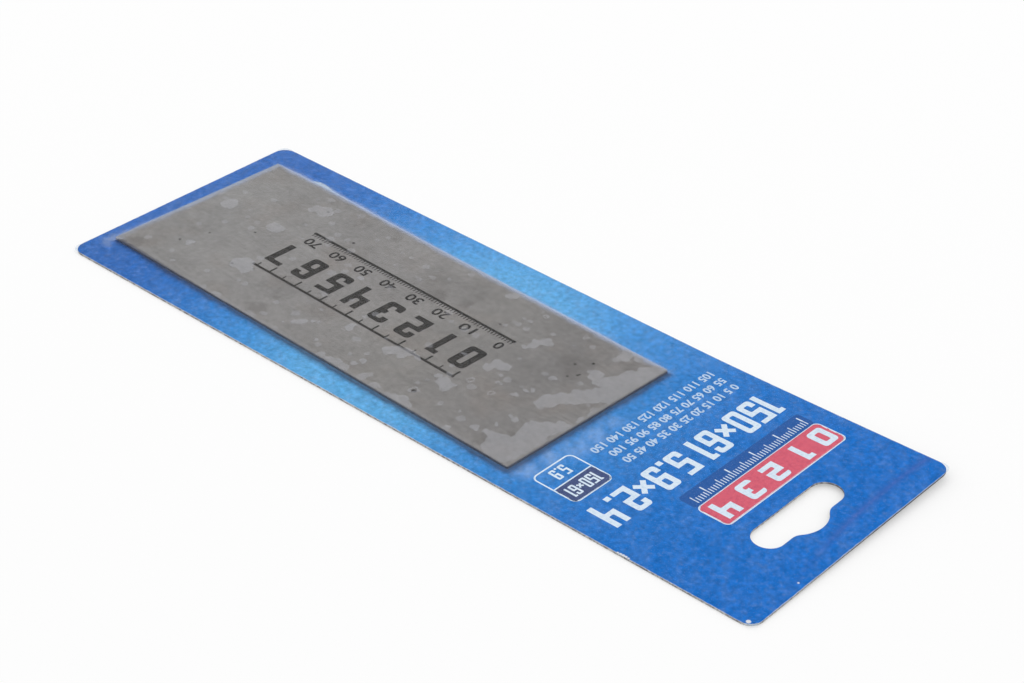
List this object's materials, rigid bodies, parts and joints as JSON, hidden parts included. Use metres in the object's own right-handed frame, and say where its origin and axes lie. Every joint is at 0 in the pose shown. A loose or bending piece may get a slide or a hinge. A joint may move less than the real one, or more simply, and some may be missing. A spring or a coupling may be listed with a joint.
{
  "type": "carded cabinet scraper",
  "caption": "Flat rectangular steel cabinet scraper sealed under clear skin film on a printed blue hang card with a euro slot.",
  "frame": {"origin": "middle of the card's flat back, on the surface that the card lies on", "axes": "+Y runs along the card from its plain end to the hang slot, +X across the card to its right side with the slot up, +Z out of the printed face"},
  "size_m": [0.082, 0.2344, 0.0027],
  "materials": {
    "ground_steel": "rolled and ground spring steel, dull grey, lightly oiled",
    "printed_board": "solid bleached board, printed blue on its face, plain on its back",
    "clear_film": "clear heat-sealed skin film, slightly milky where it tents"
  },
  "bodies": {
    "root": {"blade": "ground_steel", "backing_card": "printed_board", "skin_film": "clear_film"}
  },
  "joints": []
}
